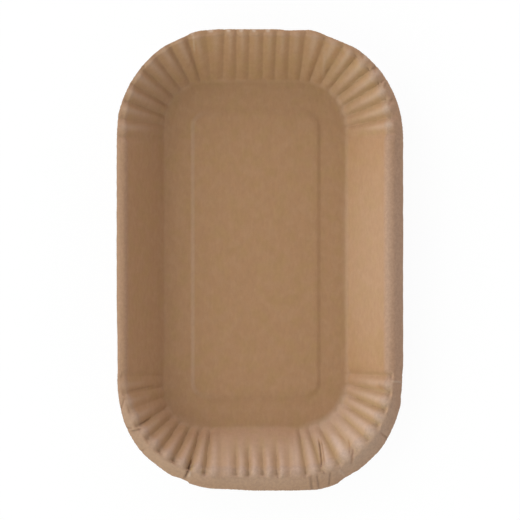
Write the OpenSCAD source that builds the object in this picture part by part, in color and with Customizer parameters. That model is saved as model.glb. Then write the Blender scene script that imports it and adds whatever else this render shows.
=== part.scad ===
// Oblong paper food tray, pressed from one flat sheet of kraft board.
// Sizes are in millimetres. The tray stands on its floor with its length along Y,
// and the origin lies under the middle of its outline.

/* [Floor] */
// Length of the flat floor, from bend to bend
floor_l = 119; // [100:1:180]
// Width of the flat floor, from bend to bend
floor_w = 61.5; // [54:0.5:110]
// Radius of the floor's corners
floor_r = 18; // [12:0.5:26]
// How far the floor reaches past that radius in the middle of each corner
corner_reach = 1.5; // [0:0.1:3]
// Width of the flat ring that the tray stands on, round the raised panel
ring_w = 8.15; // [4:0.05:14]

/* [Raised panel] */
// Radius of the panel's corners
panel_r = 5; // [2:0.5:12]
// Height of the panel above the floor round it
panel_rise = 0.3; // [0.1:0.05:1]
// Width of the slope round the panel
panel_slope = 1.3; // [0.5:0.1:3]

/* [Wall] */
// Height of the tray, from the table to the top of its rim
tray_h = 16; // [12:0.5:24]
// Level distance from the floor's edge to the top of the rim, at the long sides
side_run = 15.45; // [12:0.05:20]
// The same distance at the two ends
end_run = 16.9; // [12:0.1:20]
// Inner radius of the bend between floor and wall
bend_r = 2.5; // [1:0.25:5]
// Radius of the rim on its inner side
crest_r = 2.5; // [1.5:0.25:5]

/* [Lip] */
// Mean width of the lip that turns down outside the rim, seen from above
lip_w = 3.6; // [3.2:0.1:6]
// Angle that the lip turns down through
lip_turn = 60; // [30:1:80]
// How far the sheet lay off the die's middle, across the tray
sheet_shift_x = 0.55; // [-1:0.05:1]
// How far the sheet lay off the die's middle, along the tray
sheet_shift_y = -1.9; // [-2:0.05:2]

/* [Flutes] */
// Flutes round each corner
corner_flutes = 9; // [5:1:11]
// Flutes along the straight stretch of each end
end_flutes = 5; // [2:1:7]
// Depth of a flute at the rim
flute_depth = 0.9; // [0.3:0.05:1.5]
// Depth of a flute at the foot of the wall
foot_depth = 0.25; // [0:0.05:0.6]
// How far outside the top of the rim the flutes run out
flute_fade = 2; // [1:0.1:6]

/* [Board] */
// Thickness of the board
board_t = 0.4; // [0.3:0.05:0.8]

/* [Hidden] */
KRAFT = [0.62, 0.49, 0.36];
RIGHT_ANGLE = 90;
FULL_TURN = 360;

// Facets along one flute, along one long side, and round the bend, the rim and the lip
flute_steps = 4;
side_steps = 6;
arc_steps = 3;

corner_steps = corner_flutes * flute_steps;
end_steps = end_flutes * flute_steps;
panel_l = floor_l - 2 * (ring_w + panel_slope);
panel_w = floor_w - 2 * (ring_w + panel_slope);
corners = [[1, 1], [-1, 1], [-1, -1], [1, -1]];

function mix(a, b, share) = a + (b - a) * share;

// How deep a station lies in its flute: 0 on the ridge and 1 at the bottom
function flute(i) = (1 - cos(FULL_TURN * i / flute_steps)) / 2;

// The stations go round the tray once. Each one holds the corner centre it is measured
// from, the direction of its section, and its place in a flute.
function corner_run(q) = [
    for (i = [0 : corner_steps - 1])
        [corners[q], RIGHT_ANGLE * (q + i / corner_steps), flute(i)]
];
function straight_run(q) =
    let (is_end = q % 2 == 0, steps = is_end ? end_steps : side_steps)
    [
        for (i = [0 : steps - 1])
            [mix(corners[q], corners[(q + 1) % 4], i / steps), RIGHT_ANGLE * (q + 1), is_end ? flute(i) : 0]
    ];
stations = [for (q = [0 : 3]) each concat(corner_run(q), straight_run(q))];
count = len(stations);

function outward(angle) = [cos(angle), sin(angle)];

// A station's point on a rectangle of that length and width with round corners
function on_outline(station, length, width, radius) =
    [station[0].x * (width / 2 - radius), station[0].y * (length / 2 - radius)] + radius * outward(station[1]);

// Widths that change with the direction round the tray
function reach(angle) = corner_reach * pow(sin(2 * angle), 2);
function wall_run(angle) = side_run * pow(cos(angle), 2) + end_run * pow(sin(angle), 2) - reach(angle);
function lip_width(angle) = lip_w + outward(angle) * [sheet_shift_x, sheet_shift_y];

// Slope of the straight wall that joins the bend to the rim
function wall_slope(run) =
    let (radii = bend_r + crest_r, rise = tray_h - board_t - radii)
    atan2(rise, run) + asin(radii / norm([run, rise]));

// The section of the upper face, from the floor's edge to the edge of the lip. Each point
// holds its distance from the floor's edge, its height, its slope and the flutes' depth.
function bend_points(slope) = [
    for (k = [0 : arc_steps])
        let (a = slope * k / arc_steps)
        [bend_r * sin(a), board_t + bend_r * (1 - cos(a)), a, foot_depth * k / arc_steps]
];
function crest_points(slope, run) = [
    for (k = [0 : arc_steps])
        let (a = slope * (1 - k / arc_steps))
        [run - crest_r * sin(a), tray_h - crest_r * (1 - cos(a)), a, flute_depth]
];
function lip_points(width, run) =
    let (radius = width / sin(lip_turn))
    [
        for (k = [1 : arc_steps])
            let (a = lip_turn * k / arc_steps, out = radius * sin(a))
            [run + out, tray_h - radius * (1 - cos(a)), -a, flute_depth * max(0, 1 - out / flute_fade)]
    ];
function section(angle) =
    let (run = wall_run(angle), slope = wall_slope(run))
    concat(bend_points(slope), crest_points(slope, run), lip_points(lip_width(angle), run));

// One section's points in space, pressed in by its flute and sunk by a depth below the upper face
function wall_points(station, sunk) =
    let (angle = station[1])
    let (foot = on_outline(station, floor_l, floor_w, floor_r) + reach(angle) * outward(angle))
    [
        for (p = section(angle))
            let (depth = p[3] * station[2] + sunk)
            let (place = foot + (p[0] + depth * sin(p[2])) * outward(angle))
            [place.x, place.y, p[1] - depth * cos(p[2])]
    ];
function panel_points(station, sunk) =
    let (top = on_outline(station, panel_l, panel_w, panel_r))
    let (foot = top + panel_slope * outward(station[1]))
    [
        [top.x, top.y, board_t + panel_rise - sunk],
        [foot.x, foot.y, board_t - sunk]
    ];
function face_points(sunk) = [
    for (station = stations)
        concat(panel_points(station, sunk), wall_points(station, sunk))
];

// The sheet: one skin for each face, closed along the edge of the lip
module tray() {
    upper = face_points(0);
    lower = face_points(board_t);
    rings = len(upper[0]);
    skin = count * rings;
    upper_middle = 2 * skin;
    lower_middle = upper_middle + 1;
    points = concat(
        [for (row = upper) each row],
        [for (row = lower) each row],
        [[0, 0, board_t + panel_rise], [0, 0, panel_rise]]
    );
    faces = [
        for (i = [0 : count - 1])
            let (a = i * rings, b = (i + 1) % count * rings)
            each concat(
                [for (k = [0 : rings - 2]) each [[a + k, b + k, b + k + 1], [a + k, b + k + 1, a + k + 1]]],
                [for (k = [0 : rings - 2])
                    let (c = skin + a + k, d = skin + b + k)
                    each [[c, d + 1, d], [c, c + 1, d + 1]]],
                [
                    [a + rings - 1, b + rings - 1, skin + b + rings - 1],
                    [a + rings - 1, skin + b + rings - 1, skin + a + rings - 1],
                    [upper_middle, b, a],
                    [lower_middle, skin + a, skin + b]
                ]
            )
    ];
    color(KRAFT)
        translate([-sheet_shift_x, -sheet_shift_y, 0])
            polyhedron(points = points, faces = faces, convexity = 8);
}

tray();
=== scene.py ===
"""A paper food tray pressed from one sheet of kraft board, on a pale table.

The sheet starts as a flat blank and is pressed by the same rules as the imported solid: one
section is swept round a floor with round corners, and flutes press it in round both ends.
Here the flutes lie where the real ones do, and the sheet has its creases, the uneven edge
of its lip and its paper. Places on an end are told as a distance along the end, from the
tray's left side to its right one, and a distance outside the floor's edge.
"""

import bisect
import math
import random
from typing import NamedTuple

import bpy
from bpy.props import FloatProperty, FloatVectorProperty, IntProperty, PointerProperty
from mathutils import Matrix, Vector


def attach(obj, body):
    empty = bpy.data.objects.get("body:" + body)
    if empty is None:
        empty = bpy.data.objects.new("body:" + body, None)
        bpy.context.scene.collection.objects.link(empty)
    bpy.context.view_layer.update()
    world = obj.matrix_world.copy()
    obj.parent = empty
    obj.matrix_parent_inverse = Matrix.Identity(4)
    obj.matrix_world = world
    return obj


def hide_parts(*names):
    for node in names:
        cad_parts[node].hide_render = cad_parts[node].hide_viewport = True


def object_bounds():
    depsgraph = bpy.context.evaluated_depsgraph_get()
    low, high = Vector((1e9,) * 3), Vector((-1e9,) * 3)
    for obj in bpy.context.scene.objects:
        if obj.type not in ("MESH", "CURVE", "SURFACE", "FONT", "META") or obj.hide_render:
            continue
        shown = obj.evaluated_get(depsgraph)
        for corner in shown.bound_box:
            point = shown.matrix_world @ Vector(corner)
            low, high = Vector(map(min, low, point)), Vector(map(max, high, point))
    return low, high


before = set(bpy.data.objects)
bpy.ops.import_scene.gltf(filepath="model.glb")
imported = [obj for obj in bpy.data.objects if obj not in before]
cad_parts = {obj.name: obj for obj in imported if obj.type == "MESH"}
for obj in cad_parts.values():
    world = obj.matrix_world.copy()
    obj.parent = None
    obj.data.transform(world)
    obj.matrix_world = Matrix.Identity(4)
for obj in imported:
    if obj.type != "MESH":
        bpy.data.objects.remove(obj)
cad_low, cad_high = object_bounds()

bl_info = {
    "name": "Paper Food Tray",
    "version": (1, 0, 0),
    "blender": (4, 5, 0),
    "location": "3D View > Sidebar > Food Tray",
    "description": "Presses a tray from one sheet of kraft board and lights it on a pale table",
    "category": "Add Mesh",
}

# One millimetre in the scene's metres
MM = 0.001
QUARTER = math.pi / 2

# The tray's two ends, told by the sign of their place along the tray
TOP = 1
BOTTOM = -1

# Facets along each stretch of a section, from the panel's edge to the edge of the lip
PANEL_STEPS = 5
BEND_STEPS = 6
WALL_STEPS = 16
CREST_STEPS = 7
LIP_STEPS = 12

# Where the panel has points inside its edge, in millimetres, and the ring as shares of its width
PANEL_INSIDES = (2.0, 0.6)
RING_SHARES = (0.15, 0.85)

# How much closer the long sides' sections stand towards the corners
SIDE_CROWDING = 1.5

# How quickly what belongs to the left side or the top end fades round the corner
SIDE_POWER = 4

# The flutes: how far they lean by chance, in millimetres, and how far past the rim they run out by
# chance, as shares of their end's fade
FLUTE_SEED = 11
LEAN_SPREAD = 0.3
SHORTEST_FADE = 0.5
LONGEST_FADES = {TOP: 1.1, BOTTOM: 1.9}

# Half the width of an end's first and last flute, in millimetres, and how sharp the ridges are
LAST_FLUTE_HALF = 1.5
RIDGE_POWER = 6

# Over what share of the wall a flute that begins above the foot deepens, below and above its start
BEGIN_BELOW = 0.15
BEGIN_ABOVE = 0.35

# Over how many bend radii the flutes deepen at the foot
FOOT_EASE = 1.4

# A crease deepens over one part in so many of its length at each end
CREASE_ENDS = 5

# The cut edge's chance
EDGE_SEED = 5

# Where up the wall the ridges' painted highlight, the valleys' painted shade and the rim's painted sheen
# and shade begin and are full
RIDGE_HIGHLIGHT_CLIMB = (0.2, 1)
GROOVE_SHADE_CLIMB = (0, 0.3)
RIM_CLIMB = (0.97, 1)

# How far past the rim the ridges' painted highlight and the valleys' painted shade still reach onto the
# lip
COLOUR_FADE = 1.5 * MM

# How much less the rim's painted sheen, painted shade and wrinkles show at the top end and at the left
# side
TOP_RIM_LOSS = 0.7
LEFT_RIM_LOSS = 0.3

# Edges that turn more than this stay sharp in the shading
SHARP_ANGLE = math.radians(60)

# Places along an end are measured on a line this far outside the floor's edge
PLACE_LINE = 9.75 * MM

# Where the flutes are deepest along each end, in millimetres, and how deep they are pressed there
VALLEYS = {
    TOP: (
        (-0.6, 0.9), (4.7, 1.0), (9.4, 1.3), (14.4, 1.4), (19.5, 1.2), (24.3, 0.9),
        (29.3, 1.0), (34.3, 1.1), (39.4, 0.5), (44.7, 0.7), (49.1, 0.7), (53.5, 0.6),
        (58.4, 0.6), (62.8, 0.7), (67.3, 0.6), (72.3, 0.8), (77.7, 1.2), (83.1, 1.1),
        (87.8, 1.6), (93.0, 1.9), (97.9, 2.0), (103.0, 1.9), (108.0, 1.8), (112.8, 0.8),
    ),
    BOTTOM: (
        (0.6, 0.5), (5.9, 0.7), (10.5, 0.6), (15.5, 1.2), (20.1, 1.3), (24.8, 1.7),
        (29.7, 2.0), (34.5, 2.1), (39.2, 1.8), (43.9, 0.5), (49.1, 1.2), (53.4, 1.45),
        (58.3, 1.35), (63.1, 1.4), (67.4, 0.6), (72.4, 1.3), (76.9, 1.2), (82.1, 1.3),
        (87.5, 0.8), (92.8, 1.0), (97.6, 1.5), (102.4, 1.8), (107.3, 1.7), (112.5, 1.3),
    ),
}


class Stretch(NamedTuple):
    """The flutes up to a place along an end, in millimetres.

    Its ridge tells where between two valleys the ridge stands, and its begin how high on the
    wall the flutes begin, both as shares.
    """

    end: int
    until: float
    ridge: float
    begin: float


STRETCHES = (
    Stretch(TOP, 36, 0.58, 0),
    Stretch(TOP, 120, 0.5, 0),
    Stretch(BOTTOM, 46, 0.5, 0),
    Stretch(BOTTOM, 69, 0.36, 0.4),
    Stretch(BOTTOM, 120, 0.5, 0),
)


class Crease(NamedTuple):
    """A sharp crease in a straight line between two places of an end, in millimetres.

    It is pressed in, or stands out when its depth is below 0. Its tone is painted shade along the
    crease, or a painted highlight along the raised line when the tone is below 0.
    """

    end: int
    start: tuple
    stop: tuple
    width: float
    depth: float
    tone: float


# A tone above 0 is painted shade along a crease; below 0 it is a painted highlight along a raised line
CREASES = (
    Crease(TOP, (20.2, 18.0), (19.7, 15.5), 0.4, 0.30, 0.5),
    Crease(TOP, (35.8, 18.0), (35.0, 11.0), 0.35, -0.10, -0.7),
    Crease(TOP, (34.0, 10.0), (31.0, 6.5), 0.5, 0.12, 0.2),
    Crease(TOP, (87.8, 18.3), (89.6, 16.0), 0.6, 0.22, 0.4),
    Crease(TOP, (92.8, 18.1), (94.8, 16.0), 0.6, 0.22, 0.4),
    Crease(TOP, (98.2, 17.8), (99.6, 15.8), 0.5, 0.25, 0.4),
    Crease(TOP, (102.5, 18.4), (104.5, 15.4), 0.6, 0.22, 0.35),
    Crease(TOP, (108.0, 17.0), (109.0, 15.0), 0.4, 0.20, 0.3),
    Crease(TOP, (77.5, 14.0), (83.0, 3.0), 0.7, -0.15, -0.2),
    Crease(BOTTOM, (4.9, 5.0), (4.9, 15.0), 0.4, 0.20, 0.4),
    Crease(BOTTOM, (15.3, 7.5), (15.3, 14.0), 0.4, 0.40, 0.8),
    Crease(BOTTOM, (16.6, 13.0), (15.6, 17.5), 0.4, 0.35, 0.7),
    Crease(BOTTOM, (15.0, 16.0), (13.9, 19.5), 0.4, 0.30, 0.5),
    Crease(BOTTOM, (21.2, 16.5), (21.6, 21.0), 0.4, 0.30, 0.5),
    Crease(BOTTOM, (34.2, 10.0), (34.2, 21.0), 0.5, 0.60, 0.9),
    Crease(BOTTOM, (35.0, 12.0), (35.0, 20.0), 0.4, -0.15, -0.6),
    Crease(BOTTOM, (76.4, 15.5), (79.6, 5.0), 0.5, 0.60, 1.6),
    Crease(BOTTOM, (77.6, 15.0), (80.3, 5.5), 0.4, 0.30, 0.9),
    Crease(BOTTOM, (84.5, 18.0), (88.0, 12.5), 0.5, 0.35, 0.6),
    Crease(BOTTOM, (85.5, 14.5), (88.5, 9.5), 0.4, 0.25, 0.8),
    Crease(BOTTOM, (73.3, 17.0), (73.3, 23.0), 0.4, 0.30, 0.7),
    Crease(BOTTOM, (75.0, 17.0), (75.0, 23.0), 0.4, 0.30, 0.7),
    Crease(BOTTOM, (79.0, 17.0), (77.3, 22.0), 0.4, 0.30, 0.6),
    Crease(BOTTOM, (81.0, 17.5), (82.0, 21.0), 0.4, -0.20, -0.4),
    Crease(BOTTOM, (96.0, 16.5), (96.0, 21.5), 0.4, 0.30, 0.7),
    Crease(BOTTOM, (6.5, 16.0), (9.5, 18.5), 0.5, 0.30, 0.5),
    Crease(BOTTOM, (38.0, 14.5), (37.6, 17.5), 0.5, -0.25, -0.5),
    Crease(BOTTOM, (110.7, 15.0), (110.7, 20.0), 0.35, -0.10, -0.7),
)


class EdgeMark(NamedTuple):
    """A stretch of an end where the sheet's edge stands out further, in millimetres.

    It stands out less far when the amount is below 0. The rise and the fall are the lengths
    over which that begins and ends.
    """

    end: int
    start: float
    stop: float
    rise: float
    fall: float
    amount: float


EDGE_MARKS = (
    EdgeMark(TOP, 5.0, 27.0, 3.0, 4.0, 0.4),
    EdgeMark(TOP, 35.2, 37.0, 1.0, 4.0, 0.38),
    EdgeMark(TOP, 66.0, 69.5, 3.0, 3.0, -0.35),
    EdgeMark(TOP, 79.0, 81.0, 6.0, 7.0, -0.8),
    EdgeMark(TOP, 94.0, 106.0, 3.0, 4.0, 0.15),
    EdgeMark(BOTTOM, -10.0, 8.0, 16.0, 5.0, -0.3),
    EdgeMark(BOTTOM, 27.0, 43.0, 6.0, 14.0, -0.55),
    EdgeMark(BOTTOM, 33.0, 34.9, 2.0, 0.9, -0.5),
    EdgeMark(BOTTOM, 75.5, 79.3, 4.0, 1.3, 0.5),
    EdgeMark(BOTTOM, 81.5, 83.5, 0.9, 2.0, -0.22),
    EdgeMark(BOTTOM, 92.5, 95.0, 3.0, 4.0, 0.22),
    EdgeMark(BOTTOM, 107.5, 111.5, 3.0, 4.0, -0.4),
)


class Spot(NamedTuple):
    """An oval patch of an end, in millimetres: a darker spot, or, when its tone is below 0, a paler
    patch of painted sheen and highlight.
    """

    end: int
    place: float
    out: float
    across: float
    along: float
    tone: float


# Spots with a tone above 0 are dark spots; below 0 they are painted sheen on lit walls and corners and
# painted highlights on ridge tips
SPOTS = (
    Spot(TOP, 82.5, 6.5, 0.9, 1.1, 0.5),
    Spot(TOP, 89.6, 17.2, 1.3, 1.5, -0.4),
    Spot(TOP, 94.6, 16.6, 1.3, 1.5, -0.4),
    Spot(TOP, 99.6, 15.4, 1.5, 1.3, -0.3),
    Spot(TOP, 104.6, 14.8, 1.6, 1.2, -0.3),
    Spot(TOP, 109.3, 14.6, 1.5, 1.5, -0.4),
    Spot(BOTTOM, 87.0, 8.0, 0.7, 2.0, 0.35),
    Spot(BOTTOM, 109.0, 12.0, 1.4, 1.8, 0.45),
    Spot(BOTTOM, 10.5, 15.5, 6.5, 3.2, -0.2),
    Spot(BOTTOM, 84.8, 10.5, 2.4, 5.0, -0.3),
    Spot(BOTTOM, 90.0, 9.0, 25.0, 13.0, -0.5),
    Spot(BOTTOM, 56.0, 11.0, 30.0, 12.0, -0.3),
    Spot(BOTTOM, 28.0, 10.0, 20.0, 12.0, -0.15),
    Spot(BOTTOM, 154.0, 9.0, 44.0, 12.0, -0.17),
    Spot(TOP, 154.0, 9.0, 44.0, 12.0, -0.17),
    Spot(TOP, 98.0, 8.0, 18.0, 11.0, -0.2),
    Spot(TOP, 14.0, 9.0, 22.0, 13.0, -0.1),
    # Painted highlights on the ridges' tips at the top end's rim
    *(Spot(TOP, place + 1.2, 18.2, 0.9, 0.9, -0.8) for place, _ in VALLEYS[TOP] if 34 < place < 60),
)


class Glow(NamedTuple):
    """A soft light round the tray, its direction and height in degrees.

    The larger its spread, the narrower it is.
    """

    azimuth: float
    height: float
    spread: float
    strength: float
    tint: tuple = (1, 1, 1)


# Tints of the light, with red, green and blue near 1
COOL = (1.0, 0.99, 1.08)
YELLOW = (0.975, 1.06, 0.975)

# Rays that see the white backdrop in place of the lights
SEEN_RAYS = ("Is Camera Ray", "Is Glossy Ray", "Is Transmission Ray")

# Directions are counted from the tray's right side round to its top end
GLOWS = (
    Glow(135, 12, 12, 3.8, COOL),
    Glow(135, 32, 12, 2.0, COOL),
    Glow(90, 12, 12, 2.0, COOL),
    Glow(180, 12, 12, 1.0, YELLOW),
    Glow(225, 12, 12, 3.3, YELLOW),
    Glow(225, 32, 12, 1.8, YELLOW),
    Glow(190, 50, 12, 2.0, YELLOW),
    Glow(315, 12, 12, 2.9),
    Glow(45, 12, 12, 3.0),
    Glow(0, 12, 12, 0.8),
)


# Where the noises of the patches, the clouds and the wrinkles begin and are full, and the clouds' size
# beside the patches'
PATCH_RANGE = (0.38, 0.68)
CLOUD_RANGE = (0.42, 0.7)
WRINKLE_RANGE = (0.35, 0.65)
CLOUD_GROWTH = 1.7

# The grain is drawn out along the tray
GRAIN_STRETCH = (1, 0.45, 1)

# How much of each colour of the board shows, among them the rim's painted sheen, the ridges' painted
# highlight and the flute valleys' painted shade; the valleys' painted shade shows more where painted
# sheen and highlights lie
PATCH_SHARE = 0.6
CLOUD_SHARE = 0.5
RIM_SHEEN_SHARE = 0.8
RIDGE_HIGHLIGHT_SHARE = 0.3
GROOVE_SHADE_SHARE = 0.1
GROOVE_SHADE_UNDER_HIGHLIGHT_SHARE = 1.5

# How bright the board is where nothing changes it, and how much the fibres and the grain add
PLAIN_SHADE = 0.77
FIBRE_SHADE = 0.20
GRAIN_SHADE = 0.26

# How much darker the board is with the creases' painted shade and the dark spots, and with the painted
# shade of the rim and of the rim's wrinkles
FOLD_SHADE = 0.5
RIM_SHADE = 0.04
WRINKLE_SHADE = 0.12

# How strong the board's sheen is, how much rougher its fibres are, and its relief
SHEEN = 0.35
FIBRE_ROUGHNESS = 0.1
FIBRE_RELIEF = 0.5
RELIEF_STRENGTH = 0.35
RELIEF_DEPTH = 0.05 * MM

# The table's size in metres, its gap below the tray and the share of it that looks plain white
TABLE_SIZE = 8
TABLE_GAP = 0.05 * MM
TABLE_WHITE = 0.95

# The camera's sensor in millimetres, and how far in metres it sees
SENSOR_WIDTH = 36
CLIP_END = 20


class TrayForm(bpy.types.PropertyGroup):
    """Sizes of the pressed sheet"""

    floor_radius: FloatProperty(
        name="Floor Radius", description="Radius of the floor's corners", default=18 * MM, unit="LENGTH"
    )
    top_left_reach: FloatProperty(
        name="Top Left Reach",
        description="How far the floor reaches past that radius in its top left corner",
        default=1.5 * MM, unit="LENGTH"
    )
    top_right_reach: FloatProperty(
        name="Top Right Reach", description="The same for the top right corner",
        default=1.0 * MM, unit="LENGTH"
    )
    bottom_left_reach: FloatProperty(
        name="Bottom Left Reach", description="The same for the bottom left corner",
        default=2.4 * MM, unit="LENGTH"
    )
    bottom_right_reach: FloatProperty(
        name="Bottom Right Reach", description="The same for the bottom right corner",
        default=1.2 * MM, unit="LENGTH"
    )
    ring_width: FloatProperty(
        name="Ring Width", description="Width of the flat ring round the raised panel",
        default=7.85 * MM, unit="LENGTH"
    )
    panel_radius: FloatProperty(
        name="Panel Radius",
        description="Radius of the raised panel's corners", default=5 * MM, unit="LENGTH"
    )
    panel_rise: FloatProperty(
        name="Panel Rise",
        description="Height of the panel above the ring", default=0.3 * MM, unit="LENGTH"
    )
    panel_slope: FloatProperty(
        name="Panel Slope", description="Width of the slope round the panel at its long sides",
        default=1.9 * MM, unit="LENGTH"
    )
    panel_end_slope: FloatProperty(
        name="Panel End Slope", description="Width of that slope at the panel's ends",
        default=3.4 * MM, unit="LENGTH"
    )
    # A painted highlight on the panel's left edge, where the light falls on it
    panel_rub: FloatProperty(
        name="Panel Rub",
        description="How far the panel's left edge is rubbed pale", default=0.16, min=0, max=1
    )
    side_run: FloatProperty(
        name="Side Run", description="Level width of the wall at the long sides",
        default=15.45 * MM, unit="LENGTH"
    )
    end_run: FloatProperty(
        name="End Run",
        description="Level width of the wall at the two ends", default=16.9 * MM, unit="LENGTH"
    )
    bend_radius: FloatProperty(
        name="Bend Radius", description="Radius of the bend between floor and wall",
        default=2.2 * MM, unit="LENGTH"
    )
    crest_radius: FloatProperty(
        name="Crest Radius", description="Mean radius of the rim on its inner side",
        default=2.5 * MM, unit="LENGTH"
    )
    crest_shift: FloatProperty(
        name="Crest Shift", description="How much of the sheet's shift goes into the rim's radius",
        default=0.75, min=0, max=1
    )
    lip_width: FloatProperty(
        name="Lip Width",
        description="Mean width of the lip, seen from above", default=3.6 * MM, unit="LENGTH"
    )
    left_rim_shift: FloatProperty(
        name="Left Rim Shift", description="How much further out the rim's top lies at the left side",
        default=1.0 * MM, unit="LENGTH"
    )
    left_lip_ease: FloatProperty(
        name="Left Lip Ease", description="How much less the lip slopes at the left side, as a share",
        default=0.45, min=0, max=1
    )
    top_lip_ease: FloatProperty(
        name="Top Lip Ease", description="How much less the lip slopes at the top end, as a share",
        default=0.55, min=0, max=1
    )
    corner_lip_ease: FloatProperty(
        name="Corner Lip Ease",
        description="How much less the lip slopes round the top left corner, as a share",
        default=0.6, min=0, max=1
    )
    corner_rim_shift: FloatProperty(
        name="Corner Rim Shift",
        description="How much further out the rim's top lies round the top left corner",
        default=1.1 * MM, unit="LENGTH"
    )
    lip_slope: FloatProperty(
        name="Lip Slope", description="Slope of the lip just outside the rim",
        default=math.radians(40), subtype="ANGLE"
    )
    lip_start: FloatProperty(
        name="Lip Start", description="How far outside the rim the lip reaches that slope",
        default=1.8 * MM, unit="LENGTH"
    )
    lip_ease: FloatProperty(
        name="Lip Ease",
        description="How much flatter the lip becomes with each millimetre further out",
        default=math.radians(3), subtype="ANGLE"
    )
    shift_x: FloatProperty(
        name="Sheet Shift Across",
        description="How far the sheet lay off the die's middle, across the tray",
        default=0.55 * MM, unit="LENGTH"
    )
    shift_y: FloatProperty(
        name="Sheet Shift Along",
        description="How far the sheet lay off the die's middle, along the tray",
        default=-1.9 * MM, unit="LENGTH"
    )
    flute_depth: FloatProperty(
        name="Flute Depth", description="Depth of a flute at the rim", default=0.9 * MM, unit="LENGTH"
    )
    foot_share: FloatProperty(
        name="Foot Share",
        description="Depth of a flute at the foot of the wall, as a share of its full depth",
        default=0.6, min=0, max=1
    )
    flute_lean: FloatProperty(
        name="Flute Lean",
        description="How far a flute leans to the left between the floor and the rim",
        default=0.5 * MM, unit="LENGTH"
    )
    top_fade: FloatProperty(
        name="Top Fade", description="How far outside the top end's rim the flutes run out",
        default=3.6 * MM, unit="LENGTH"
    )
    bottom_fade: FloatProperty(
        name="Bottom Fade", description="How far outside the bottom end's rim the flutes run out",
        default=0.9 * MM, unit="LENGTH"
    )
    edge_jitter: FloatProperty(
        name="Edge Jitter",
        description="How uneven the sheet's cut edge is", default=0.06 * MM, unit="LENGTH"
    )
    board: FloatProperty(
        name="Board", description="Thickness of the board", default=0.4 * MM, unit="LENGTH"
    )
    corner_steps: IntProperty(
        name="Corner Steps", description="Sections round each corner", default=144, min=18
    )
    end_steps: IntProperty(
        name="End Steps", description="Sections along the straight of each end", default=80, min=10
    )
    side_steps: IntProperty(
        name="Side Steps", description="Sections along half of each long side", default=24, min=4
    )


class TrayFinish(bpy.types.PropertyGroup):
    """Colours and surface of the kraft board"""

    kraft: FloatVectorProperty(
        name="Kraft", description="Colour of the board", default=(0.332, 0.178, 0.088),
        subtype="COLOR", min=0, max=1
    )
    pale_fibre: FloatVectorProperty(
        name="Pale Fibre",
        description="Colour of paler, pinkish patches", default=(0.352, 0.198, 0.104),
        subtype="COLOR", min=0, max=1
    )
    ochre_fibre: FloatVectorProperty(
        name="Ochre Fibre", description="Colour of yellower patches", default=(0.316, 0.182, 0.074),
        subtype="COLOR", min=0, max=1
    )
    # The rim's colour is painted sheen: paler and pinker than the board
    rim: FloatVectorProperty(
        name="Rim", description="Colour of the rim and the lip", default=(0.365, 0.217, 0.140),
        subtype="COLOR", min=0, max=1
    )
    # Colour of the painted sheen and highlights
    worn: FloatVectorProperty(
        name="Worn", description="Colour where the board is rubbed pale", default=(0.48, 0.345, 0.262),
        subtype="COLOR", min=0, max=1
    )
    # Colour of the painted shade in the flutes' valleys
    groove: FloatVectorProperty(
        name="Groove", description="Colour at the bottom of the flutes", default=(0.340, 0.207, 0.094),
        subtype="COLOR", min=0, max=1
    )
    roughness: FloatProperty(
        name="Roughness", description="Roughness of the plain board", default=0.5, min=0, max=1
    )
    fibre_size: FloatProperty(
        name="Fibre Size", description="Size of the finest fibres", default=0.35 * MM, unit="LENGTH"
    )
    grain_size: FloatProperty(
        name="Grain Size", description="Width of the paper's grain, which runs along the tray",
        default=1.1 * MM, unit="LENGTH"
    )
    wrinkle_size: FloatProperty(
        name="Wrinkle Size",
        description="Size of the lip's fine wrinkles", default=0.9 * MM, unit="LENGTH"
    )
    mottle_size: FloatProperty(
        name="Mottle Size",
        description="Size of the patches of uneven colour", default=3.2 * MM, unit="LENGTH"
    )


class TrayStudio(bpy.types.PropertyGroup):
    """Camera and light"""

    camera_distance: FloatProperty(
        name="Camera Distance", description="From the tray to the camera", default=3.0, unit="LENGTH"
    )
    camera_lean: FloatProperty(
        name="Camera Lean", description="How far the camera stands to the left of straight above",
        default=math.radians(3.9), subtype="ANGLE"
    )
    aim_height: FloatProperty(
        name="Aim Height", description="Height of the point that the camera looks at",
        default=14 * MM, unit="LENGTH"
    )
    lens: FloatProperty(
        name="Lens", description="Focal length in millimetres", default=599, min=1
    )
    sky: FloatProperty(
        name="Sky", description="Strength of the light from all round", default=0.07, min=0
    )
    glow: FloatProperty(
        name="Glow", description="Strength of the soft lights round the tray", default=0.96, min=0
    )
    table: FloatVectorProperty(
        name="Table", description="Colour of the table", default=(0.95, 0.95, 0.95),
        subtype="COLOR", min=0, max=1
    )


class Station(NamedTuple):
    """One stop on the way round the tray, where a section of the sheet stands."""

    corner: Vector
    angle: float
    end: int
    place: float


class Cut(NamedTuple):
    """One point of a section: its place, its slope, and how far up the wall or past the rim it is."""

    out: float
    height: float
    slope: float
    climb: float
    beyond: float


def mix(first, second, share):
    """Returns the value that lies a share of the way from first to second."""
    return first + (second - first) * share


def smooth(low, high, value):
    """Rises smoothly from 0 at low to 1 at high."""
    share = min(1, max(0, (value - low) / (high - low)))
    return share * share * (3 - 2 * share)


def outward(angle):
    """Returns the level direction of a section."""
    return Vector((math.cos(angle), math.sin(angle)))


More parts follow.
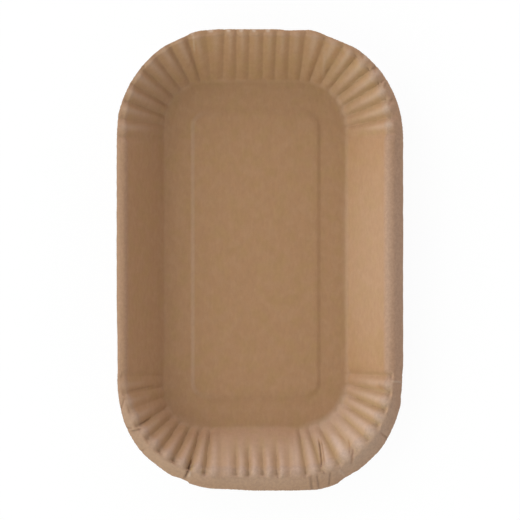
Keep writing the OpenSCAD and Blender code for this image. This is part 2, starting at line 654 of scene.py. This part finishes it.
def stations_round(form, floor_half):
    """Returns the stations round the tray, from the middle of its right side towards its top."""
    bend = QUARTER * (form.floor_radius + PLACE_LINE)
    half_straight = Vector((floor_half.x - form.floor_radius, floor_half.y - form.floor_radius))
    path = 2 * bend + 2 * half_straight.x
    legs = (
        ((1, 0), (1, 1), 0, 0, form.side_steps, half_straight.y),
        ((1, 1), (1, 1), 0, 1, form.corner_steps, bend),
        ((1, 1), (-1, 1), 1, 1, form.end_steps, 2 * half_straight.x),
        ((-1, 1), (-1, 1), 1, 2, form.corner_steps, bend),
        ((-1, 1), (-1, 0), 2, 2, form.side_steps, half_straight.y),
    )
    stations = []
    for end in (TOP, BOTTOM):
        walked = -half_straight.y
        for start, stop, first_turn, last_turn, steps, length in legs:
            for step in range(steps):
                share = step / steps
                if start[1] == 0:
                    share = 1 - (1 - share)**SIDE_CROWDING
                elif stop[1] == 0:
                    share = share**SIDE_CROWDING
                corner = Vector(start).lerp(Vector(stop), share) * end
                angle = QUARTER * (mix(first_turn, last_turn, share) + 1 - end)
                along = walked + share * length
                place = path - along if end == TOP else along
                stations.append(Station(corner, angle, end, place))
            walked += length
    return stations


def on_outline(station, half, radius):
    """Returns a station's point on a rectangle with round corners."""
    straight = Vector((half.x - radius, half.y - radius))
    return station.corner * straight + radius * outward(station.angle)


def corner_reach(form, angle):
    """Returns how far the floor reaches past its corner's radius in one direction."""
    across, along = outward(angle)
    if along > 0:
        reach = form.top_right_reach if across > 0 else form.top_left_reach
    else:
        reach = form.bottom_right_reach if across > 0 else form.bottom_left_reach
    return reach * math.sin(2 * angle)**2


def section_at(form, angle, height):
    """Returns the upper face's section in one direction, from the bend to the edge of the lip."""
    across, along = outward(angle)
    left = max(0, -across)**SIDE_POWER
    top = max(0, along)**SIDE_POWER
    corner = 4 * (max(0, -across) * max(0, along))**2
    run = form.side_run * across**2 + form.end_run * along**2 - corner_reach(form, angle)
    rim_shift = form.left_rim_shift * left + form.corner_rim_shift * corner
    run += rim_shift
    shift = form.shift_x * across + form.shift_y * along
    crest = form.crest_radius + form.crest_shift * shift
    radii = form.bend_radius + crest
    rise = height - form.board - radii
    slope = math.atan2(rise, run) + math.asin(radii / math.hypot(run, rise))
    cuts = []
    for step in range(BEND_STEPS + 1):
        a = slope * step / BEND_STEPS
        out = form.bend_radius * math.sin(a)
        cuts.append(Cut(out, form.board + form.bend_radius * (1 - math.cos(a)), a, 0, 0))
    foot = cuts[-1]
    top_out = run - crest * math.sin(slope)
    top_height = height - crest * (1 - math.cos(slope))
    for step in range(1, WALL_STEPS):
        share = step / WALL_STEPS
        out = mix(foot.out, top_out, share)
        cuts.append(Cut(out, mix(foot.height, top_height, share), slope, share, 0))
    for step in range(CREST_STEPS + 1):
        a = slope * (1 - step / CREST_STEPS)
        cuts.append(Cut(run - crest * math.sin(a), height - crest * (1 - math.cos(a)), a, 1, 0))
    steepness = 1 - form.left_lip_ease * left - form.top_lip_ease * top - form.corner_lip_ease * corner
    return cuts + lip_at(form, run, height, form.lip_width + shift - rim_shift, steepness)


def lip_at(form, run, height, width, steepness):
    """Returns the lip's part of a section, which turns down outside the rim and then flattens."""
    pace = width / LIP_STEPS
    cuts = []
    for step in range(1, LIP_STEPS + 1):
        beyond = pace * step
        slope = lip_slope(form, beyond) * steepness
        height -= math.tan(lip_slope(form, beyond - pace / 2) * steepness) * pace
        cuts.append(Cut(run + beyond, height, -slope, 1, beyond))
    return cuts


def lip_slope(form, beyond):
    """Returns the slope of the lip at a distance outside the rim."""
    eased = form.lip_ease / MM * max(0, beyond - form.lip_start)
    return form.lip_slope * smooth(0, form.lip_start, beyond) - eased


class Flutes:
    """The pressed folds of the two ends, told as how far each place is pressed in."""

    def __init__(self, form):
        self.form = form
        chance = random.Random(FLUTE_SEED)
        self.leans = {
            end: [chance.uniform(-LEAN_SPREAD, LEAN_SPREAD) for _ in valleys]
            for end, valleys in VALLEYS.items()
        }
        self.starts = {end: [place for place, _ in valleys] for end, valleys in VALLEYS.items()}
        self.fades = {
            end: [chance.uniform(SHORTEST_FADE, LONGEST_FADES[end]) for _ in valleys]
            for end, valleys in VALLEYS.items()
        }

    def stretch(self, station):
        """Returns the stretch of flutes that a station lies in."""
        for stretch in STRETCHES:
            if stretch.end == station.end and station.place / MM < stretch.until:
                return stretch
        return STRETCHES[-1]

    def wave(self, station, climb):
        """Returns how deep a place lies in its flute, 0 on a ridge, and how near a ridge is."""
        end = station.end
        valleys = VALLEYS[end]
        place = station.place / MM + self.form.flute_lean / MM * (climb - 0.5)
        after = bisect.bisect(self.starts[end], place)
        if after == 0 or after == len(valleys):
            start, depth = valleys[0 if after == 0 else -1]
            return depth * max(0, 1 - abs(place - start) / LAST_FLUTE_HALF), 0
        lean = self.leans[end]
        left = valleys[after - 1][0] + lean[after - 1] * (climb - 0.5)
        right = valleys[after][0] + lean[after] * (climb - 0.5)
        share = min(1, max(0, (place - left) / (right - left)))
        depth = mix(valleys[after - 1][1], valleys[after][1], share)
        ridge = self.stretch(station).ridge
        turn = 0.5 * share / ridge if share < ridge else 0.5 + 0.5 * (share - ridge) / (1 - ridge)
        height = math.sin(math.pi * turn)
        return depth * (1 - height), height**RIDGE_POWER * min(1, depth)

    def depth(self, station, cut):
        """Returns how far a point is pressed in along the normal of its section."""
        form = self.form
        begin = self.stretch(station).begin
        grown = mix(form.foot_share, 1, cut.climb) * form.flute_depth
        if begin > 0:
            grown *= smooth(begin - BEGIN_BELOW, begin + BEGIN_ABOVE, cut.climb)
        foot = smooth(0, form.bend_radius * FOOT_EASE, cut.out)
        fade = form.top_fade if station.end == TOP else form.bottom_fade
        after = bisect.bisect(self.starts[station.end], station.place / MM)
        fade *= self.fades[station.end][min(after, len(self.fades[station.end]) - 1)]
        left = 1 - smooth(0, fade, cut.beyond)
        room = (cut.height - form.board) / math.cos(cut.slope)
        return min(room, self.wave(station, cut.climb)[0] * grown * foot * left)


def crease_depth(station, cut):
    """Returns how far the creases press a point in, and their painted shade there, which is a painted
    highlight below 0.
    """
    place, out = station.place / MM, cut.out / MM
    total, tone = 0, 0
    for crease in CREASES:
        if crease.end != station.end:
            continue
        start, stop = Vector(crease.start), Vector(crease.stop)
        along = stop - start
        share = (Vector((place, out)) - start).dot(along) / along.length_squared
        if not 0 < share < 1:
            continue
        aside = (Vector((place, out)) - start - share * along).length
        if aside >= crease.width:
            continue
        strength = (1 - aside / crease.width) * min(1, CREASE_ENDS * share, CREASE_ENDS * (1 - share))
        total += crease.depth * strength
        tone += crease.tone * strength
    return total * MM, tone


def spot_tone(station, cut):
    """Returns how much darker the dark spots leave a point, or, below 0, how much painted sheen and
    highlight the pale ones give it.
    """
    tone = 0
    for spot in SPOTS:
        if spot.end == station.end:
            across = (station.place / MM - spot.place) / spot.across
            along = (cut.out / MM - spot.out) / spot.along
            tone += spot.tone * max(0, 1 - across**2 - along**2)
    return tone


def edge_shift(form, station, chance):
    """Returns how much further out than planned the sheet's edge stands at a station."""
    place = station.place / MM
    total = chance.uniform(-1, 1) * form.edge_jitter / MM
    for mark in EDGE_MARKS:
        if mark.end == station.end:
            risen = smooth(mark.start - mark.rise, mark.start, place)
            total += mark.amount * risen * (1 - smooth(mark.stop, mark.stop + mark.fall, place))
    return total * MM


def flat_blank(name, spokes, rings):
    """Adds a flat round sheet of that many spokes and rings, a unit apart, and returns it."""
    bpy.ops.object.select_all(action="DESELECT")
    bpy.ops.mesh.primitive_circle_add(vertices=spokes, radius=rings, fill_type="NGON")
    blank = bpy.context.object
    blank.name = blank.data.name = name
    bpy.ops.object.mode_set(mode="EDIT")
    bpy.ops.mesh.select_all(action="DESELECT")
    bpy.ops.mesh.select_mode(type="EDGE")
    bpy.ops.mesh.select_non_manifold(extend=False, use_wire=False, use_multi_face=False, use_verts=False)
    for ring in range(1, rings):
        bpy.ops.mesh.extrude_edges_move()
        growth = (rings + ring) / (rings + ring - 1)
        bpy.ops.transform.resize(value=(growth, growth, 1), center_override=(0, 0, 0))
    bpy.ops.object.mode_set(mode="OBJECT")
    return blank


class Pressed(NamedTuple):
    """One point of the pressed sheet, and how much it has of a ridge's painted highlight, of the flute
    valleys' painted shade, of the creases' painted shade and the dark spots, of other painted sheen and
    highlights, and of the rim's painted sheen, painted shade and wrinkles.
    """

    point: Vector
    ridge: float = 0
    groove: float = 0
    fold: float = 0
    worn: float = 0
    rim: float = 0


def press(blank, spokes, rings, columns):
    """Moves the blank's vertices to the columns of pressed points, one column for each spoke."""
    names = Pressed._fields[1:]
    for name in names:
        blank.data.attributes.new(name, "FLOAT", "POINT")
    shares = {name: blank.data.attributes[name] for name in names}
    for vertex in blank.data.vertices:
        flat = vertex.co.xy
        ring = round(flat.length) - rings
        spoke = round(math.atan2(-flat.x, flat.y) / (2 * math.pi) * spokes) % spokes
        pressed = columns[spoke][ring]
        vertex.co = pressed.point
        for name, layer in shares.items():
            layer.data[vertex.index].value = getattr(pressed, name)


def pressed_column(form, flutes, station, floor_half, height, chance):
    """Returns one station's points from the panel to the edge of the lip."""
    column = []
    direction = outward(station.angle)
    slope = mix(form.panel_slope, form.panel_end_slope, direction.y**2)
    panel_inset = form.ring_width + slope
    panel_half = Vector((floor_half.x - panel_inset, floor_half.y - panel_inset))
    edge = on_outline(station, panel_half, form.panel_radius)
    top = form.board + form.panel_rise
    for inside in PANEL_INSIDES:
        column.append(Pressed((edge - direction * inside * MM).to_3d() + Vector((0, 0, top))))
    for step in range(PANEL_STEPS + 1):
        share = step / PANEL_STEPS
        at = edge + direction * slope * share
        # Painted highlight on the panel's left edge, which faces the light
        rubbed = form.panel_rub * max(0, -direction.x)**2 * math.sin(math.pi * share)
        point = Vector((at.x, at.y, top - form.panel_rise * smooth(0, 1, share)))
        column.append(Pressed(point, worn=rubbed))
    foot = edge + direction * slope
    floor_edge = on_outline(station, floor_half, form.floor_radius)
    floor_edge = floor_edge + direction * corner_reach(form, station.angle)
    for share in RING_SHARES:
        at = foot.lerp(floor_edge, share)
        column.append(Pressed(Vector((at.x, at.y, form.board))))
    shift = edge_shift(form, station, chance)
    cuts = section_at(form, station.angle, height)
    lip = cuts[-1].beyond
    for cut in cuts:
        # The tone is painted shade in the creases and the dark spots above 0, and painted sheen and
        # highlights below 0
        creased, tone = crease_depth(station, cut)
        tone += spot_tone(station, cut)
        depth = flutes.depth(station, cut) + creased
        out = cut.out + depth * math.sin(cut.slope) + shift * (cut.beyond / lip)**2
        at = floor_edge + direction * out
        point = Vector((at.x, at.y, cut.height - depth * math.cos(cut.slope)))
        inside = 1 - smooth(0, COLOUR_FADE, cut.beyond)
        # Ridge tips get a painted highlight and the flutes' valleys painted shade
        wave, ridge = flutes.wave(station, cut.climb)
        ridge *= smooth(*RIDGE_HIGHLIGHT_CLIMB, cut.climb) * inside
        groove = min(1, wave) * smooth(*GROOVE_SHADE_CLIMB, cut.climb) * inside
        # The rim carries painted sheen, painted shade and wrinkles, with less of them at the top end and
        # the left side
        rim = smooth(*RIM_CLIMB, cut.climb) * (1 - TOP_RIM_LOSS * max(0, direction.y))
        rim *= 1 - LEFT_RIM_LOSS * max(0, -direction.x)
        column.append(Pressed(point, ridge, groove, max(0, tone), max(0, -tone), rim))
    return column


class Wire:
    """A shader socket that takes part in Python sums."""

    def __init__(self, shader, socket):
        self.shader = shader
        self.socket = socket

    def sum(self, operation, first, second):
        return self.shader.node("ShaderNodeMath", {"operation": operation}, {0: first, 1: second})

    def __add__(self, other):
        return self.sum("ADD", self, other)

    def __radd__(self, other):
        return self.sum("ADD", other, self)

    def __rsub__(self, other):
        return self.sum("SUBTRACT", other, self)

    def __mul__(self, other):
        return self.sum("MULTIPLY", self, other)

    def __rmul__(self, other):
        return self.sum("MULTIPLY", other, self)

    def __pow__(self, other):
        return self.sum("POWER", self, other)


class Shader:
    """The node tree of a material or of the world, built one node at a time."""

    def __init__(self, tree):
        self.tree = tree
        tree.nodes.clear()

    def node(self, kind, settings=None, values=None, output=0):
        """Adds a node, sets it up, fills or links its sockets and returns one of its outputs."""
        node = self.tree.nodes.new(kind)
        for name, setting in (settings or {}).items():
            setattr(node, name, setting)
        for name, value in (values or {}).items():
            if isinstance(value, Wire):
                self.tree.links.new(value.socket, node.inputs[name])
            else:
                node.inputs[name].default_value = value
        return Wire(self, node.outputs[output]) if node.outputs else None

    def share(self, name):
        """Returns one of the shares that the pressed sheet carries."""
        return self.node("ShaderNodeAttribute", {"attribute_name": name}, output="Fac")

    def noise(self, size, detail, roughness=0.5, stretch=(1, 1, 1)):
        """Returns a noise from 0 to 1 whose grains have about that size."""
        place = self.node("ShaderNodeTexCoord", output="Object")
        mapped = self.node("ShaderNodeMapping", values={"Vector": place, "Scale": stretch})
        values = {"Vector": mapped, "Scale": 1 / size, "Detail": detail, "Roughness": roughness}
        return self.node("ShaderNodeTexNoise", values=values)

    def step(self, value, low, high):
        """Returns 0 below low and 1 above high, with a smooth rise between."""
        settings = {"interpolation_type": "SMOOTHSTEP"}
        values = {"Value": value, "From Min": low, "From Max": high}
        return self.node("ShaderNodeMapRange", settings, values)

    def blend(self, share, first, second, blend_type="MIX"):
        """Returns a colour between two colours."""
        settings = {"data_type": "RGBA", "blend_type": blend_type}
        return self.node("ShaderNodeMix", settings, {0: share, 6: first, 7: second}, output=2)

    def lobe(self, azimuth, height, spread):
        """Returns a soft glow in the world's light, brightest in one direction."""
        level = math.cos(height)
        toward = (level * math.cos(azimuth), level * math.sin(azimuth), math.sin(height))
        look = self.node("ShaderNodeTexCoord", output="Generated")
        settings = {"operation": "DOT_PRODUCT"}
        facing = self.node("ShaderNodeVectorMath", settings, {0: look, 1: toward}, output="Value")
        return facing.sum("MAXIMUM", facing, 0)**spread


def solid(colour):
    """Returns a colour with its alpha."""
    return (*colour, 1)


def kraft_board(finish):
    """Returns the board's material: mottled fibres, a painted highlight on the ridges' tips, painted
    sheen on the rim, the lip and lit walls, painted shade in the creases and the flutes' valleys, dark
    spots and a dull sheen.
    """
    material = bpy.data.materials.new("kraft_board")
    material.use_nodes = True
    shader = Shader(material.node_tree)
    ridge = shader.share("ridge")
    rim = shader.share("rim")
    worn = shader.share("worn")
    patches = shader.step(shader.noise(finish.mottle_size, 3), *PATCH_RANGE)
    clouds = shader.step(shader.noise(finish.mottle_size * CLOUD_GROWTH, 2), *CLOUD_RANGE)
    fibres = shader.noise(finish.fibre_size, 4, 0.65)
    grain = shader.noise(finish.grain_size, 3, 0.6, stretch=GRAIN_STRETCH)
    colour = shader.blend(patches * PATCH_SHARE, solid(finish.kraft), solid(finish.pale_fibre))
    colour = shader.blend(clouds * CLOUD_SHARE, colour, solid(finish.ochre_fibre))
    # Painted sheen on the rim and the lip
    colour = shader.blend(rim * RIM_SHEEN_SHARE, colour, solid(finish.rim))
    # Painted sheen and highlights on lit walls and corners, raised creases, the panel's left edge and
    # ridge tips at the top rim
    colour = shader.blend(worn, colour, solid(finish.worn))
    # Painted shade in the flutes' valleys, stronger under the painted sheen
    in_groove_shade = shader.share("groove") * (GROOVE_SHADE_SHARE + GROOVE_SHADE_UNDER_HIGHLIGHT_SHARE * worn)
    colour = shader.blend(in_groove_shade, colour, solid(finish.groove))
    # Painted highlight on the ridges' tips
    colour = shader.blend(ridge * RIDGE_HIGHLIGHT_SHARE, colour, solid(finish.worn))
    wrinkles = shader.step(shader.noise(finish.wrinkle_size, 3, 0.6), *WRINKLE_RANGE)
    paper = PLAIN_SHADE + FIBRE_SHADE * fibres + GRAIN_SHADE * grain
    # Painted shade in the creases, and the dark spots
    shade = paper * (1 - FOLD_SHADE * shader.share("fold"))
    # Painted shade on the rim and its wrinkles
    shade = shade * (1 - rim * (RIM_SHADE + WRINKLE_SHADE * wrinkles))
    grey = shader.node("ShaderNodeCombineColor", values={0: shade, 1: shade, 2: shade})
    colour = shader.blend(1.0, colour, grey, "MULTIPLY")
    relief = fibres * FIBRE_RELIEF + grain + rim * wrinkles
    bump = {"Strength": RELIEF_STRENGTH, "Distance": RELIEF_DEPTH, "Height": relief}
    normal = shader.node("ShaderNodeBump", values=bump)
    surface = {
        "Base Color": colour,
        "Roughness": finish.roughness + FIBRE_ROUGHNESS * fibres,
        "Normal": normal,
        "Specular IOR Level": SHEEN,
    }
    board = shader.node("ShaderNodeBsdfPrincipled", values=surface)
    shader.node("ShaderNodeOutputMaterial", values={"Surface": board})
    return material


def pale_table(studio):
    """Returns the table's material, which looks nearly white and keeps a soft shadow."""
    material = bpy.data.materials.new("pale_table")
    material.use_nodes = True
    shader = Shader(material.node_tree)
    lit = shader.node("ShaderNodeBsdfDiffuse", values={"Color": solid(studio.table)})
    white = shader.node("ShaderNodeEmission", values={"Color": (1, 1, 1, 1), "Strength": 1.0})
    seen = shader.node("ShaderNodeLightPath", output="Is Camera Ray")
    both = shader.node("ShaderNodeMixShader", values={0: seen * TABLE_WHITE, 1: lit, 2: white})
    shader.node("ShaderNodeOutputMaterial", values={"Surface": both})
    return material


def studio_world(studio):
    """Gives the scene its light from all round, and a white backdrop to what looks at it."""
    world = bpy.data.worlds.new("studio")
    world.use_nodes = True
    bpy.context.scene.world = world
    shader = Shader(world.node_tree)
    glow = (studio.sky, studio.sky, studio.sky)
    for each in GLOWS:
        lobe = shader.lobe(math.radians(each.azimuth), math.radians(each.height), each.spread)
        tint = Vector(each.tint) * studio.glow * each.strength
        parts = {0: lobe, 1: tint, 2: glow}
        glow = shader.node("ShaderNodeVectorMath", {"operation": "MULTIPLY_ADD"}, parts)
    light = shader.node("ShaderNodeBackground", values={"Color": glow, "Strength": 1.0})
    white = shader.node("ShaderNodeBackground", values={"Color": (1, 1, 1, 1), "Strength": 1.0})
    seen = sum(shader.node("ShaderNodeLightPath", output=ray) for ray in SEEN_RAYS)
    both = shader.node("ShaderNodeMixShader", values={0: seen, 1: light, 2: white})
    shader.node("ShaderNodeOutputWorld", values={"Surface": both})


class TRAY_OT_press_sheet(bpy.types.Operator):
    """Press the tray from one flat sheet of kraft board"""

    bl_idname = "tray.press_sheet"
    bl_label = "Press Sheet"

    def execute(self, context):
        form = context.scene.tray_form
        size = cad_high - cad_low
        centre = (cad_high + cad_low) / 2 - Vector((form.shift_x, form.shift_y, 0))
        centre.z = cad_low.z
        half_width = size.x / 2 - form.lip_width - form.side_run
        half_length = size.y / 2 - form.lip_width - form.end_run
        floor_half = Vector((half_width, half_length))
        flutes = Flutes(form)
        chance = random.Random(EDGE_SEED)
        columns = [
            pressed_column(form, flutes, station, floor_half, size.z, chance)
            for station in stations_round(form, floor_half)
        ]
        spokes, rings = len(columns), len(columns[0])
        sheet = flat_blank("pressed_sheet", spokes, rings)
        press(sheet, spokes, rings, columns)
        for vertex in sheet.data.vertices:
            vertex.co += centre
        thickness = sheet.modifiers.new("board", "SOLIDIFY")
        thickness.thickness = form.board
        thickness.offset = -1
        bpy.ops.object.modifier_apply(modifier=thickness.name)
        bpy.ops.object.shade_smooth_by_angle(angle=SHARP_ANGLE)
        sheet.data.materials.append(kraft_board(context.scene.tray_finish))
        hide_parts("tray")
        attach(sheet, "root")
        return {"FINISHED"}


class TRAY_OT_set_stage(bpy.types.Operator):
    """Set the pale table, the soft light and the camera"""

    bl_idname = "tray.set_stage"
    bl_label = "Set Stage"

    def execute(self, context):
        studio = context.scene.tray_studio
        context.scene.view_settings.view_transform = "Standard"
        bpy.ops.object.select_all(action="DESELECT")
        bpy.ops.mesh.primitive_plane_add(size=TABLE_SIZE, location=(0, 0, cad_low.z - TABLE_GAP))
        table = context.object
        table.name = "table"
        table.data.materials.append(pale_table(studio))
        studio_world(studio)
        self.aim_camera(context, studio)
        return {"FINISHED"}

    def aim_camera(self, context, studio):
        """Stands the camera above the tray, a little to its left, with the tray's length upright."""
        lean = studio.camera_lean
        look_from = Vector((-math.sin(lean), 0, math.cos(lean))) * studio.camera_distance
        look_from.z += studio.aim_height
        bpy.ops.object.camera_add(location=look_from, rotation=(0, -lean, 0))
        camera = context.object
        camera.data.lens = studio.lens
        camera.data.sensor_width = SENSOR_WIDTH
        camera.data.clip_end = CLIP_END
        context.scene.camera = camera


class TRAY_PT_sidebar(bpy.types.Panel):
    """The tray's tools and sizes"""

    bl_idname = "TRAY_PT_sidebar"
    bl_label = "Food Tray"
    bl_space_type = "VIEW_3D"
    bl_region_type = "UI"
    bl_category = "Food Tray"

    def draw(self, context):
        layout = self.layout
        for operator in OPERATORS:
            layout.operator(operator.bl_idname)
        for name in GROUPS:
            column = layout.column(align=True)
            group = getattr(context.scene, name)
            for field in group.bl_rna.properties.keys():
                if field not in ("rna_type", "name"):
                    column.prop(group, field)


OPERATORS = (TRAY_OT_press_sheet, TRAY_OT_set_stage)
GROUPS = {"tray_form": TrayForm, "tray_finish": TrayFinish, "tray_studio": TrayStudio}


def register():
    """Registers the groups, the operators and the panel."""
    for name, group in GROUPS.items():
        bpy.utils.register_class(group)
        setattr(bpy.types.Scene, name, PointerProperty(type=group))
    for each in (*OPERATORS, TRAY_PT_sidebar):
        bpy.utils.register_class(each)


def unregister():
    """Takes them away again."""
    for each in (TRAY_PT_sidebar, *reversed(OPERATORS)):
        bpy.utils.unregister_class(each)
    for name, group in GROUPS.items():
        delattr(bpy.types.Scene, name)
        bpy.utils.unregister_class(group)


def main():
    """Makes the sheet and its stage."""
    register()
    bpy.ops.tray.press_sheet()
    bpy.ops.tray.set_stage()


if __name__ == "__main__":
    main()
